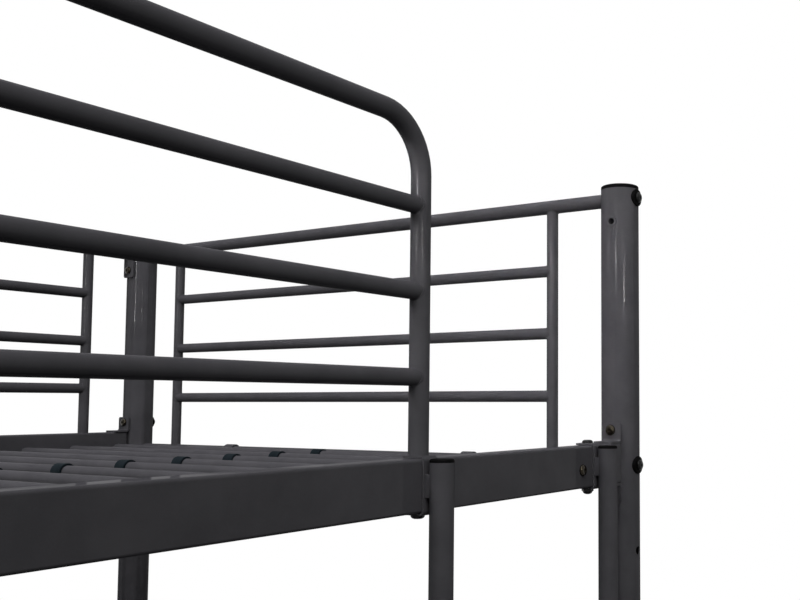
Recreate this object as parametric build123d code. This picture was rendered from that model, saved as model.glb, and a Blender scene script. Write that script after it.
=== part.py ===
from build123d import *
import os

# A bunk bed of powder-coated steel tube, in millimetres.
# X runs along the bed, Y from the ladder side to the back, Z up from the floor.
# The origin is on the floor, under the middle of the whole bed.

# Overall layout
post_span_x = 1930.0
post_span_y = 992.0
lower_deck_height = 330.0
deck_rise = 978.0
post_joint_height = 900.0

# Posts
post_diameter = 50.8
post_wall = 1.5
post_above_deck = 338.4
cap_rise = 5.5
cap_edge = 2.2
cap_bolt_clearance = 1.0
cap_wall = 2.0
foot_thickness = 6.0
foot_edge = 1.8
foot_skirt = 24.0
plug_clearance = 0.2
coupler_length = 160.0
coupler_wall = 1.5

# Bolts and their holes
bolt_diameter = 8.0
hole_diameter = 9.5
head_diameter = 14.0
head_height = 4.0
cap_nut_diameter = 15.0
cap_nut_height = 7.0
cap_nut_crown = 1.5
washer_diameter = 23.0
washer_thickness = 2.0
insert_length = 22.0
insert_clearance = 0.1
thread_engagement = 14.0
seat_clearance = 0.05
cut_overrun = 5.0

# Threaded inserts in the posts, for the guards
post_insert_hole_diameter = 11.0
post_insert_flange_diameter = 15.0
post_insert_flange_thickness = 0.5
post_insert_length = 16.5
post_insert_collar_diameter = 14.0
post_insert_collar_length = 4.0
post_insert_mouth_diameter = 9.5

# End panels: heights are above the top of the side rail
panel_top_diameter = 19.0
panel_bar_diameter = 16.0
panel_wall = 1.2
panel_top_height = 326.3
panel_bar_pitch = 87.25
panel_bar_count = 3
panel_lowest_bar_height = 61.6
panel_bottom_height = -28.9
panel_stile_inset = 106.0

# Side rails
rail_height = 50.8
rail_thickness = 25.4
rail_wall = 1.5
rail_corner_radius = 3.0
rail_outset = 3.0
rail_end_gap = 4.0
ear_width = 26.4
ear_offset = 1.6
ear_thickness = 3.0
ear_height = 26.5
ear_bend_radius = 6.0
ear_leg = 28.0
ear_corner_radius = 3.5
upper_ear_bolt_height = 17.2
lower_ear_bolt_height = -68.0

# Slats and what holds them together
slat_diameter = 16.0
slat_wall = 1.0
slat_pitch = 83.4
slat_end_space = 45.0
slat_height = -28.5
slat_insertion = 8.0
slat_clearance = 0.3
tie_slat_number = 1
spine_width = 18.5
spine_thickness = 3.0
clip_thickness = 2.5
support_bar_size = 20.0
support_bar_wall = 1.5
hook_thickness = 3.0
hook_drop = 8.0
quarter_share = 0.25

# Guards: heights are above the top of the side rail
guard_tube_diameter = 20.0
guard_rail_diameter = 17.0
guard_wall = 1.2
guard_top_height = 328.0
guard_bend_radius = 55.0
guard_rail_heights = (243.8, 160.1, 77.3)
guard_stile_inset = 106.0
guard_tab_width = 26.0
guard_tab_thickness = 3.0
guard_bolt_height = 292.8
guard_tab_margin = 13.0
guard_plug_length = 20.0

# Ladder: places are measured from the axis of the post beside it
ladder_tube_diameter = 23.5
ladder_wall = 1.5
ladder_near_offset = 95.5
ladder_width = 332.0
ladder_outset = 31.5
ladder_cap_rise = 3.3
ladder_cap_skirt = 16.0
ladder_foot_thickness = 6.0
ladder_foot_skirt = 20.0
rung_diameter = 22.0
rung_count = 4
rung_pitch = 260.0
lowest_rung_height = 258.0
strap_width = 21.0
strap_thickness = 2.4
strap_gap = 0.3
strap_bend_radius = 5.0
strap_depth = 26.0
spacer_height = 22.0
spacer_width = 19.0
spare_hole_height = -139.9

# Worked out from the sizes above
post_radius = post_diameter / 2
post_bore = post_radius - post_wall
cap_skirt = post_above_deck - panel_top_height - bolt_diameter / 2 - cap_bolt_clearance
upper_deck_height = lower_deck_height + deck_rise
post_top_height = upper_deck_height + post_above_deck
end_x = post_span_x / 2
ladder_radius = ladder_tube_diameter / 2
washer_reach = post_radius + washer_thickness
front_reach = ladder_outset + ladder_radius
back_reach = washer_reach + head_height
middle_y = (front_reach - back_reach) / 2
front_y = middle_y - post_span_y / 2
back_y = middle_y + post_span_y / 2
rail_end_x = end_x - post_radius - rail_end_gap
rail_inner_offset = rail_thickness / 2 - rail_outset
deck_heights = {"lower": lower_deck_height, "upper": upper_deck_height}
sides = {"front": -1, "back": 1}
ends = {"left": -1, "right": 1}
slat_span = post_span_x - 2 * slat_end_space
slat_count = int(slat_span // slat_pitch) + 1
slat_places = [(i - (slat_count - 1) / 2) * slat_pitch for i in range(slat_count)]
tie_slat_places = (slat_places[tie_slat_number], slat_places[-1 - tie_slat_number])
guard_plane_y = front_y - rail_outset
back_guard_plane_y = back_y + rail_outset
ladder_near_x = end_x - ladder_near_offset
ladder_far_x = ladder_near_x - ladder_width
ladder_y = front_y - ladder_outset
front_stile_x = guard_stile_inset - end_x
front_middle_x = (front_stile_x + ladder_far_x) / 2
back_stile_places = (guard_stile_inset - end_x, 0, end_x - guard_stile_inset)
foot_bolt_places = {"front": (front_stile_x, front_middle_x, ladder_far_x, ladder_near_x),
                    "back": back_stile_places}

os.makedirs("parts", exist_ok=True)
X_AXIS = (1, 0, 0)
Y_AXIS = (0, 1, 0)
Z_AXIS = (0, 0, 1)


def save(name, shape):
    """Writes one sub-part to its own file."""
    if isinstance(shape, list):
        solids = [solid for item in shape for solid in item.solids()]
        shape = Compound(children=solids)
    export_step(shape, f"parts/{name}.step")


def rod(start, axis, length, radius):
    """A round bar that starts at a point and runs along an axis."""
    plane = Plane(origin=start, z_dir=axis)
    return plane * Cylinder(radius, length, align=(Align.CENTER, Align.CENTER, Align.MIN))


def tube(start, axis, length, diameter, wall):
    """A round tube, open at both ends."""
    outside = rod(start, axis, length, diameter / 2)
    return outside - rod(start, axis, length, diameter / 2 - wall)


def turned(points, place, axis):
    """A turned piece: its half outline holds (radius, distance along the axis)."""
    outline = [(r, 0, z) for r, z in points]
    face = Face(Wire.make_polygon([Vector(*p) for p in outline], close=True))
    return Plane(origin=place, z_dir=axis) * revolve(face, Axis.Z)


def post_axis(side, end):
    """The X and Y of one corner's post."""
    return ends[end] * end_x, (front_y if side == "front" else back_y)


# Posts, with a hole for each bolt that passes through them
def drill(post, x, y, z, axis, reach=post_diameter, diameter=hole_diameter):
    """Cuts a hole through one or both walls of a post."""
    start = [x, y, z]
    direction = [abs(v) for v in axis]
    sign = sum(axis)
    along = direction.index(1)
    start[along] += sign * (post_radius + cut_overrun)
    back = tuple(-v for v in axis)
    return post - rod(tuple(start), back, reach + 2 * cut_overrun, diameter / 2)


for side, side_sign in sides.items():
    for end, end_sign in ends.items():
        x, y = post_axis(side, end)
        lower = tube((x, y, foot_thickness), Z_AXIS, post_joint_height - foot_thickness,
                     post_diameter, post_wall)
        upper = tube((x, y, post_joint_height), Z_AXIS, post_top_height - post_joint_height,
                     post_diameter, post_wall)
        halves = {"lower": lower, "upper": upper}
        for deck, deck_height in deck_heights.items():
            for height in (panel_top_height, panel_bottom_height):
                halves[deck] = drill(halves[deck], x, y, deck_height + height, Y_AXIS)
            for height in (upper_ear_bolt_height, lower_ear_bolt_height):
                halves[deck] = drill(halves[deck], x, y, deck_height + height, X_AXIS)
        for height, axis in ((guard_bolt_height, (-end_sign, 0, 0)), (spare_hole_height, (0, side_sign, 0))):
            halves["upper"] = drill(halves["upper"], x, y, upper_deck_height + height, axis,
                                    reach=post_radius, diameter=post_insert_hole_diameter)
        save(f"post_lower_{side}_{end}", halves["lower"])
        save(f"post_upper_{side}_{end}", halves["upper"])

# Post fittings: a sleeve inside each joint, a cap on top and a foot below
plug_radius = post_bore - plug_clearance
couplers = []
for side in sides:
    for end in ends:
        x, y = post_axis(side, end)
        couplers.append(tube((x, y, post_joint_height - coupler_length / 2), Z_AXIS,
                             coupler_length, 2 * plug_radius, coupler_wall))
        cap = turned([(0, 0), (plug_radius - cap_wall, 0), (plug_radius - cap_wall, -cap_skirt),
                      (plug_radius, -cap_skirt), (plug_radius, 0), (post_radius, 0),
                      (post_radius, cap_rise - cap_edge), (post_radius - cap_edge, cap_rise), (0, cap_rise)],
                     (x, y, post_top_height), Z_AXIS)
        save(f"post_cap_{side}_{end}", cap)
        foot = turned([(0, 0), (post_radius - foot_edge, 0), (post_radius, foot_edge),
                       (post_radius, foot_thickness), (plug_radius, foot_thickness),
                       (plug_radius, foot_skirt), (plug_radius - cap_wall, foot_skirt),
                       (plug_radius - cap_wall, foot_thickness), (0, foot_thickness)],
                      (x, y, 0), Z_AXIS)
        save(f"post_foot_{side}_{end}", foot)
save("post_couplers", couplers)

# End panels: a top and a bottom tube between two posts, two stiles and three bars
post_void_radius = post_radius + seat_clearance
panel_reach = post_span_y / 2
stile_y = post_span_y / 2 - panel_stile_inset


def coped_cross_tube(x, z, diameter):
    """A tube across the bed whose ends are shaped to sit on the round posts."""
    piece = tube((x, middle_y - panel_reach, z), Y_AXIS, 2 * panel_reach, diameter, panel_wall)
    for y in (front_y, back_y):
        piece -= rod((x, y, z - post_diameter), Z_AXIS, 2 * post_diameter, post_void_radius)
    return piece


def coped_bar(x, z):
    """A thin bar between the two stiles of a panel."""
    piece = tube((x, middle_y - stile_y, z), Y_AXIS, 2 * stile_y, panel_bar_diameter, panel_wall)
    cope_radius = panel_bar_diameter / 2 + seat_clearance
    for y in (middle_y - stile_y, middle_y + stile_y):
        piece -= rod((x, y, z - post_diameter), Z_AXIS, 2 * post_diameter, cope_radius)
    return piece


def coped_stile(x, y, deck_height):
    """An upright of a panel, shaped to sit against the tubes above and below it."""
    low = deck_height + panel_bottom_height
    high = deck_height + panel_top_height
    piece = tube((x, y, low), Z_AXIS, high - low, panel_bar_diameter, panel_wall)
    piece -= rod((x, y - post_diameter, low), Y_AXIS, 2 * post_diameter,
                 panel_bar_diameter / 2 + seat_clearance)
    return piece - rod((x, y - post_diameter, high), Y_AXIS, 2 * post_diameter,
                       panel_top_diameter / 2 + seat_clearance)


panel_bar_heights = [panel_lowest_bar_height + i * panel_bar_pitch for i in range(panel_bar_count)]
for deck, deck_height in deck_heights.items():
    for end, end_sign in ends.items():
        x = end_sign * end_x
        tubes = [coped_cross_tube(x, deck_height + panel_top_height, panel_top_diameter),
                 coped_cross_tube(x, deck_height + panel_bottom_height, panel_bar_diameter)]
        tubes += [coped_stile(x, middle_y + sign * stile_y, deck_height) for sign in (-1, 1)]
        tubes += [coped_bar(x, deck_height + height) for height in panel_bar_heights]
        save(f"end_panel_{deck}_{end}", tubes)

# Side rails: a box tube with a bent ear on top and below at each end
rail_length = 2 * rail_end_x


def box_tube(centre, length, height, depth, wall, corner):
    """A box tube along X with round corners, given by the middle of its section."""
    plane = Plane(origin=(centre[0] - length / 2, centre[1], centre[2]), z_dir=X_AXIS, x_dir=Y_AXIS)
    outside = RectangleRounded(depth, height, corner)
    inside = RectangleRounded(depth - 2 * wall, height - 2 * wall, corner - wall)
    return extrude(plane * (outside - inside), length)


def ear(x_post, y, z_seat, up, end_sign):
    """A bent ear: one leg lies on the rail, the other is bolted to the post."""
    face_x = x_post - end_sign * post_radius
    with BuildPart() as part:
        with BuildSketch(Plane.XZ):
            with BuildLine():
                Polyline((0, ear_height), (0, 0), (ear_leg, 0), (ear_leg, ear_thickness),
                         (ear_thickness, ear_thickness), (ear_thickness, ear_height), close=True)
            make_face()
        extrude(amount=ear_width / 2, both=True)
        bend = part.edges().filter_by(Axis.Y)
        outer = bend.sort_by_distance((0, 0, 0))[0]
        fillet(outer, ear_bend_radius)
        inner = part.edges().filter_by(Axis.Y).sort_by_distance((ear_thickness, 0, ear_thickness))[0]
        fillet(inner, ear_bend_radius - ear_thickness)
        tip = part.edges().filter_by(Axis.X).group_by(Axis.Z)[-1]
        fillet(tip, ear_corner_radius)
    piece = part.part
    if end_sign > 0:
        piece = piece.mirror(Plane.YZ)
    if up < 0:
        piece = piece.mirror(Plane.XY)
    return Pos(face_x, y, z_seat) * piece


for deck, deck_height in deck_heights.items():
    for side, side_sign in sides.items():
        rail_y = (front_y if side == "front" else back_y) + side_sign * rail_outset
        centre = (0, rail_y, deck_height - rail_height / 2)
        rail = box_tube(centre, rail_length, rail_height, rail_thickness, rail_wall, rail_corner_radius)
        inner_face_y = rail_y - side_sign * rail_thickness / 2
        for place in slat_places:
            rail -= rod((place, inner_face_y - side_sign * cut_overrun, deck_height + slat_height),
                        (0, side_sign, 0), cut_overrun + rail_thickness / 2,
                        slat_diameter / 2 + slat_clearance)
        for place in tie_slat_places:
            rail -= rod((place, rail_y, deck_height + slat_height), (0, side_sign, 0),
                        rail_thickness, hole_diameter / 2)
        if deck == "upper":
            for x in foot_bolt_places[side]:
                rail -= rod((x, rail_y, deck_height - rail_height - cut_overrun), Z_AXIS,
                            rail_height + 2 * cut_overrun, hole_diameter / 2)
        pieces = [rail]
        for end, end_sign in ends.items():
            x, y = post_axis(side, end)
            ear_y = y + side_sign * ear_offset
            upper_ear = ear(x, ear_y, deck_height, 1, end_sign)
            lower_ear = ear(x, ear_y, deck_height - rail_height, -1, end_sign)
            start_x = x - end_sign * (post_radius + ear_leg)
            for piece, height in ((upper_ear, upper_ear_bolt_height), (lower_ear, lower_ear_bolt_height)):
                pieces.append(piece - rod((start_x, y, deck_height + height), (end_sign, 0, 0),
                                          ear_leg + cut_overrun, hole_diameter / 2))
        save(f"side_rail_{deck}_{side}", pieces)

# Decks: slats, a spine strip with a clip on each slat, and two support bars on hooks
slat_length = post_span_y - 2 * rail_inner_offset + 2 * slat_insertion
slat_radius = slat_diameter / 2


def clip(x, z):
    """A saddle over a slat whose two legs stand on the spine strip."""
    inner = slat_radius + seat_clearance
    outer = inner + clip_thickness
    foot_z = -slat_radius - seat_clearance
    with BuildPart() as part:
        with BuildSketch(Plane.XZ):
            Circle(outer)
            with Locations((0, foot_z / 2)):
                Rectangle(2 * outer, -foot_z)
            Circle(inner, mode=Mode.SUBTRACT)
            with Locations((0, foot_z / 2)):
                Rectangle(2 * inner, -foot_z, mode=Mode.SUBTRACT)
            with Locations((0, foot_z - outer)):
                Rectangle(2 * outer, 2 * outer, mode=Mode.SUBTRACT)
        extrude(amount=spine_width / 2, both=True)
    return Pos(x, middle_y, z) * part.part


def hook(end_sign, y, z_tube, bar_height):
    """A strap bent over the bottom tube of an end panel, with its long leg on the support bar."""
    inner = panel_bar_diameter / 2 + seat_clearance
    outer = inner + hook_thickness
    leg = slat_radius + seat_clearance + bar_height + (slat_height - panel_bottom_height)
    middle = (inner + outer) / 2
    with BuildPart() as part:
        with BuildSketch(Plane.XZ):
            Circle(outer)
            Circle(inner, mode=Mode.SUBTRACT)
            with Locations((0, -outer / 2)):
                Rectangle(2 * outer, outer, mode=Mode.SUBTRACT)
            with Locations((middle, -hook_drop / 2)):
                Rectangle(hook_thickness, hook_drop)
            with Locations((-middle, -leg / 2)):
                Rectangle(hook_thickness, leg)
        extrude(amount=support_bar_size / 2, both=True)
    piece = part.part if end_sign > 0 else part.part.mirror(Plane.YZ)
    return Pos(end_sign * end_x, y, z_tube) * piece


for deck, deck_height in deck_heights.items():
    slat_z = deck_height + slat_height
    start_y = middle_y - slat_length / 2
    save(f"slats_{deck}", [tube((x, start_y, slat_z), Y_AXIS, slat_length, slat_diameter, slat_wall)
                           for x in slat_places])
    save(f"slat_clips_{deck}", [clip(x, slat_z) for x in slat_places])
    under_slats = slat_z - slat_radius - seat_clearance
    spine_length = slat_places[-1] - slat_places[0] + 2 * slat_diameter
    spine = Pos(0, middle_y, under_slats) * Box(spine_length, spine_width, spine_thickness,
                                                align=(Align.CENTER, Align.CENTER, Align.MAX))
    save(f"slat_spine_{deck}", spine)
    bar_end = end_x - panel_bar_diameter / 2 - seat_clearance - hook_thickness
    for side, side_sign in sides.items():
        y = middle_y + side_sign * quarter_share * post_span_y
        bar = box_tube((0, y, under_slats - support_bar_size / 2), 2 * bar_end, support_bar_size,
                       support_bar_size, support_bar_wall, 2 * support_bar_wall)
        tube_z = deck_height + panel_bottom_height
        hooks = [hook(sign, y, tube_z, support_bar_size) for sign in ends.values()]
        save(f"support_bar_{deck}_{side}", [bar] + hooks)

# Guards
guard_top_z = upper_deck_height + guard_top_height
guard_post_gap = post_insert_flange_thickness
guard_end_x = end_x - post_radius - guard_post_gap - guard_tab_thickness
guard_upright_foot = upper_deck_height + strap_gap + strap_thickness
tab_top = guard_top_height + guard_tube_diameter / 2
tab_bottom = guard_bolt_height - guard_tab_margin


def guard_tab(end_sign, y_post):
    """A plate on the end of the top tube, bolted to the post below the tube."""
    plate = Box(guard_tab_thickness, guard_tab_width, tab_top - tab_bottom)
    plate = fillet(plate.edges().filter_by(Axis.X), ear_corner_radius)
    plate = Pos(end_sign * (guard_end_x + guard_tab_thickness / 2), y_post,
                upper_deck_height + (tab_bottom + tab_top) / 2) * plate
    hole = rod((end_sign * (end_x - post_diameter), y_post, upper_deck_height + guard_bolt_height),
               (end_sign, 0, 0), post_diameter, hole_diameter / 2)
    return plate - hole


def guard_stile(x, y, foot_z, top_z=guard_top_z):
    """An upright under the top tube."""
    piece = tube((x, y, foot_z), Z_AXIS, top_z - foot_z, guard_rail_diameter, guard_wall)
    return piece - rod((x - post_diameter, y, top_z), X_AXIS, 2 * post_diameter,
                       guard_tube_diameter / 2 + seat_clearance)


def guard_rail(x_from, radius_from, x_to, radius_to, y, z):
    """A thin rail between two uprights, shaped to sit against both."""
    piece = tube((x_from, y, z), X_AXIS, x_to - x_from, guard_rail_diameter, guard_wall)
    for x, radius in ((x_from, radius_from), (x_to, radius_to)):
        piece -= rod((x, y, z - post_diameter), Z_AXIS, 2 * post_diameter, radius + seat_clearance)
    return piece


stile_radius = guard_rail_diameter / 2
with BuildPart() as loop_part:
    with BuildLine(Plane.XZ) as loop_line:
        FilletPolyline((-guard_end_x, guard_top_z), (ladder_far_x, guard_top_z),
                       (ladder_far_x, guard_upright_foot), radius=guard_bend_radius)
    with BuildSketch(Plane(origin=(-guard_end_x, 0, guard_top_z), z_dir=X_AXIS)):
        Circle(guard_tube_diameter / 2)
        Circle(guard_tube_diameter / 2 - guard_wall, mode=Mode.SUBTRACT)
    sweep(path=loop_line.line)
guard_loop = Pos(0, guard_plane_y, 0) * loop_part.part
save("guard_front_loop", [guard_loop, guard_tab(-1, front_y)])

front_bars = [guard_stile(front_stile_x, guard_plane_y, upper_deck_height),
              guard_stile(front_middle_x, guard_plane_y, upper_deck_height)]
for height in guard_rail_heights:
    z = upper_deck_height + height
    front_bars.append(guard_rail(front_stile_x, stile_radius, front_middle_x, stile_radius,
                                 guard_plane_y, z))
    front_bars.append(guard_rail(front_middle_x, stile_radius, ladder_far_x, guard_tube_diameter / 2,
                                 guard_plane_y, z))
save("guard_front_bars", front_bars)

back_pieces = [tube((-guard_end_x, back_guard_plane_y, guard_top_z), X_AXIS, 2 * guard_end_x,
                    guard_tube_diameter, guard_wall)]
back_pieces += [guard_tab(sign, back_y) for sign in ends.values()]
back_pieces += [guard_stile(x, back_guard_plane_y, upper_deck_height) for x in back_stile_places]
for height in guard_rail_heights:
    z = upper_deck_height + height
    for x_from, x_to in zip(back_stile_places, back_stile_places[1:]):
        back_pieces.append(guard_rail(x_from, stile_radius, x_to, stile_radius, back_guard_plane_y, z))
save("guard_back", back_pieces)

# Ladder
ladder_top = upper_deck_height - ladder_cap_rise
rung_heights = [lowest_rung_height + i * rung_pitch for i in range(rung_count)]
ladder_bore = ladder_radius - ladder_wall - plug_clearance
ladder_caps = []
ladder_feet = []
for name, x in (("left", ladder_far_x), ("right", ladder_near_x)):
    save(f"ladder_stile_{name}", tube((x, ladder_y, ladder_foot_thickness), Z_AXIS,
                                      ladder_top - ladder_foot_thickness,
                                      ladder_tube_diameter, ladder_wall))
    ladder_caps.append(turned([(0, -ladder_cap_skirt), (ladder_bore, -ladder_cap_skirt), (ladder_bore, 0),
                               (ladder_radius, 0), (ladder_radius, ladder_cap_rise), (0, ladder_cap_rise)],
                              (x, ladder_y, ladder_top), Z_AXIS))
    ladder_feet.append(turned([(0, 0), (ladder_radius, 0), (ladder_radius, ladder_foot_thickness),
                               (ladder_bore, ladder_foot_thickness), (ladder_bore, ladder_foot_skirt),
                               (0, ladder_foot_skirt)], (x, ladder_y, 0), Z_AXIS))
save("ladder_caps", ladder_caps)
save("ladder_feet", ladder_feet)

for number, height in enumerate(rung_heights, start=1):
    rung = tube((ladder_far_x, ladder_y, height), X_AXIS, ladder_width, rung_diameter, ladder_wall)
    for x in (ladder_far_x, ladder_near_x):
        rung -= rod((x, ladder_y, height - post_diameter), Z_AXIS, 2 * post_diameter,
                    ladder_radius + seat_clearance)
    save(f"ladder_rung_{number}", rung)


def strap(x):
    """A steel strap bent round the front rail, with a spacer welded between it and the stile."""
    rail_face_y = -rail_thickness / 2
    inner_y = rail_face_y - strap_gap
    outer_y = inner_y - strap_thickness
    back_edge_y = outer_y + strap_depth
    top = strap_gap + strap_thickness
    bottom = -rail_height - strap_gap - strap_thickness
    with BuildPart() as part:
        with BuildSketch(Plane.YZ):
            with BuildLine():
                Polyline((back_edge_y, top), (outer_y, top), (outer_y, bottom), (back_edge_y, bottom),
                         (back_edge_y, bottom + strap_thickness), (inner_y, bottom + strap_thickness),
                         (inner_y, top - strap_thickness), (back_edge_y, top - strap_thickness), close=True)
            make_face()
        extrude(amount=strap_width / 2, both=True)
        edges = part.edges().filter_by(Axis.X)
        outer_edges = [e for e in edges if abs(e.center().Y - outer_y) < seat_clearance]
        fillet(outer_edges, strap_bend_radius)
        edges = part.edges().filter_by(Axis.X)
        inner_edges = [e for e in edges if abs(e.center().Y - inner_y) < seat_clearance]
        fillet(inner_edges, strap_bend_radius - strap_thickness)
    piece = Pos(x, guard_plane_y, upper_deck_height) * part.part
    hole_start = upper_deck_height - rail_height - strap_thickness - cut_overrun
    piece -= rod((x, guard_plane_y, hole_start), Z_AXIS, rail_height + 2 * (strap_thickness + cut_overrun),
                 hole_diameter / 2)
    web_y = guard_plane_y + outer_y
    block = Pos(x, web_y, upper_deck_height - rail_height / 2) * Box(
        spacer_width, web_y - ladder_y, spacer_height, align=(Align.CENTER, Align.MAX, Align.CENTER))
    block -= rod((x, ladder_y, upper_deck_height - rail_height), Z_AXIS, rail_height,
                 ladder_radius + seat_clearance)
    return [piece, block]


save("ladder_strap_left", strap(ladder_far_x))
save("ladder_strap_right", strap(ladder_near_x))

# Fasteners
bolt_radius = bolt_diameter / 2
head_radius = head_diameter / 2
head_crown = head_radius / 2
nut_depth = cap_nut_height - cap_nut_crown


def bolt(place, axis, shank):
    """A button-head bolt: place is the seat of its head and axis points out of the head."""
    return turned([(0, -shank), (bolt_radius, -shank), (bolt_radius, 0), (head_radius, 0),
                   (head_radius, head_height / 2), (head_crown, head_height), (0, head_height)],
                  place, axis)


def cap_nut(place, axis):
    """A domed nut, closed at its crown: place is its seat and axis points out of the dome."""
    radius = cap_nut_diameter / 2
    return turned([(bolt_radius, 0), (radius, 0), (radius, cap_nut_height / 2), (radius / 2, cap_nut_height),
                   (0, cap_nut_height), (0, nut_depth), (bolt_radius, nut_depth)], place, axis)


def saddle_washer(x, y, z, axis):
    """A washer whose inner face is hollowed to sit on a round post."""
    place = (x, y, z)
    start = tuple(p + a * post_bore for p, a in zip(place, axis))
    length = post_wall + washer_thickness
    washer = rod(start, axis, length, washer_diameter / 2)
    washer -= rod((x, y, z - post_diameter), Z_AXIS, 2 * post_diameter, post_void_radius)
    return washer - rod(start, axis, length, hole_diameter / 2)


def post_insert(x, y, z, end_sign):
    """A threaded insert in one wall of a post: a flange outside and a collar that grips inside."""
    inwards = (end_sign, 0, 0)
    outwards = (-end_sign, 0, 0)
    body = post_insert_hole_diameter / 2 - seat_clearance
    collar = post_insert_collar_diameter / 2
    mouth = post_insert_mouth_diameter / 2
    face = post_radius + post_insert_flange_thickness
    collar_near = face - (post_bore ** 2 - collar ** 2) ** (1 / 2) + seat_clearance
    collar_far = collar_near + post_insert_collar_length
    sleeve = turned([(mouth, 0), (body, 0), (body, collar_near), (collar, collar_near), (collar, collar_far),
                     (body, collar_far), (body, post_insert_length), (bolt_radius, post_insert_length),
                     (bolt_radius, mouth - bolt_radius)], (x - end_sign * face, y, z), inwards)
    start = (x - end_sign * post_bore, y, z)
    flange = rod(start, outwards, face - post_bore, post_insert_flange_diameter / 2)
    flange -= rod((x, y, z - post_diameter), Z_AXIS, 2 * post_diameter, post_void_radius)
    flange -= rod(start, outwards, face - post_bore, (mouth + body) / 2)
    return sleeve + flange


def insert(place, axis, bore):
    """A threaded plug in the end of a tube: place is the middle of its outer face."""
    plug = rod(place, axis, insert_length, bore - insert_clearance)
    return plug - rod(place, axis, insert_length, bolt_radius)


def foot_plug(place, diameter):
    """A threaded plug in the foot of an upright tube."""
    radius = diameter / 2 - guard_wall - insert_clearance
    plug = rod(place, Z_AXIS, guard_plug_length, radius)
    return plug - rod(place, Z_AXIS, guard_plug_length, bolt_radius)


panel_bolts = []
panel_washers = []
inserts = []
rail_bolts = []
rail_nuts = []
rail_washers = []
tie_screws = []
saddle_drop = insert_clearance + post_radius
nut_reach = washer_reach + nut_depth
for deck_height in deck_heights.values():
    for side, side_sign in sides.items():
        for end, end_sign in ends.items():
            x, y = post_axis(side, end)
            out = (0, side_sign, 0)
            inwards = (0, -side_sign, 0)
            for height, diameter in ((panel_top_height, panel_top_diameter),
                                     (panel_bottom_height, panel_bar_diameter)):
                z = deck_height + height
                panel_washers.append(saddle_washer(x, y, z, out))
                panel_bolts.append(bolt((x, y + side_sign * washer_reach, z), out,
                                        washer_reach + post_radius + thread_engagement))
                inserts.append(insert((x, y - side_sign * saddle_drop, z), inwards,
                                      diameter / 2 - panel_wall))
            out = (end_sign, 0, 0)
            for height in (upper_ear_bolt_height, lower_ear_bolt_height):
                z = deck_height + height
                rail_washers.append(saddle_washer(x, y, z, out))
                rail_nuts.append(cap_nut((x + end_sign * washer_reach, y, z), out))
                rail_bolts.append(bolt((x - end_sign * (post_radius + ear_thickness), y, z),
                                       (-end_sign, 0, 0), ear_thickness + post_radius + nut_reach))
        rail_y = (front_y if side == "front" else back_y) + side_sign * rail_outset
        outer_face_y = rail_y + side_sign * rail_thickness / 2
        slat_end_y = middle_y + side_sign * slat_length / 2
        for place in tie_slat_places:
            z = deck_height + slat_height
            tie_screws.append(bolt((place, outer_face_y, z), (0, side_sign, 0),
                                   abs(outer_face_y - slat_end_y) + thread_engagement))
            inserts.append(insert((place, slat_end_y, z), (0, -side_sign, 0), slat_radius - slat_wall))

# Inserts for the guards in all four posts, so that the ladder can stand at either end
post_inserts = []
guard_bolt_z = upper_deck_height + guard_bolt_height
for side in sides:
    for end, end_sign in ends.items():
        x, y = post_axis(side, end)
        post_inserts.append(post_insert(x, y, guard_bolt_z, end_sign))
        if (side, end) != ("front", "right"):
            rail_bolts.append(bolt((end_sign * guard_end_x, y, guard_bolt_z), (-end_sign, 0, 0),
                                   guard_tab_thickness + thread_engagement))
save("post_inserts", post_inserts)
save("panel_bolts", panel_bolts)
save("panel_bolt_washers", panel_washers)
save("thread_inserts", inserts)
save("rail_bolts", rail_bolts)
save("rail_cap_nuts", rail_nuts)
save("rail_nut_washers", rail_washers)
save("slat_tie_screws", tie_screws)

# Bolts that come up through the rail into the feet of the guards' uprights
under_rail = upper_deck_height - rail_height
strap_stack = strap_gap + strap_thickness
foot_bolts = []
foot_plugs = []
for y, places in ((guard_plane_y, (front_stile_x, front_middle_x)), (back_guard_plane_y, back_stile_places)):
    for x in places:
        foot_bolts.append(bolt((x, y, under_rail), (0, 0, -1), rail_height + thread_engagement))
        foot_plugs.append(foot_plug((x, y, upper_deck_height), guard_rail_diameter))
foot_bolts.append(bolt((ladder_far_x, guard_plane_y, under_rail - strap_stack), (0, 0, -1),
                       rail_height + 2 * strap_stack + thread_engagement))
foot_plugs.append(foot_plug((ladder_far_x, guard_plane_y, guard_upright_foot), guard_tube_diameter))
save("guard_foot_bolts", foot_bolts)
save("guard_foot_plugs", foot_plugs)

# The bolt of the other strap, with its nut below the rail
strap_bolt_length = rail_height + 2 * strap_stack + nut_depth
save("ladder_strap_bolt", bolt((ladder_near_x, guard_plane_y, guard_upright_foot), Z_AXIS, strap_bolt_length))
save("ladder_strap_nut", cap_nut((ladder_near_x, guard_plane_y, under_rail - strap_stack), (0, 0, -1)))
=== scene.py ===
# %% [markdown]
# # A bunk bed of powder-coated steel tube
#
# This lesson dresses a bunk bed whose exact solids already exist. The solids come in as a fixed frame, and
# every piece made here is placed in that same frame, in metres: X runs along the bed, Y from the ladder side
# to the back, Z up from the floor. Nothing has to be fitted by eye.

# %% Load the frame
import math

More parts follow.
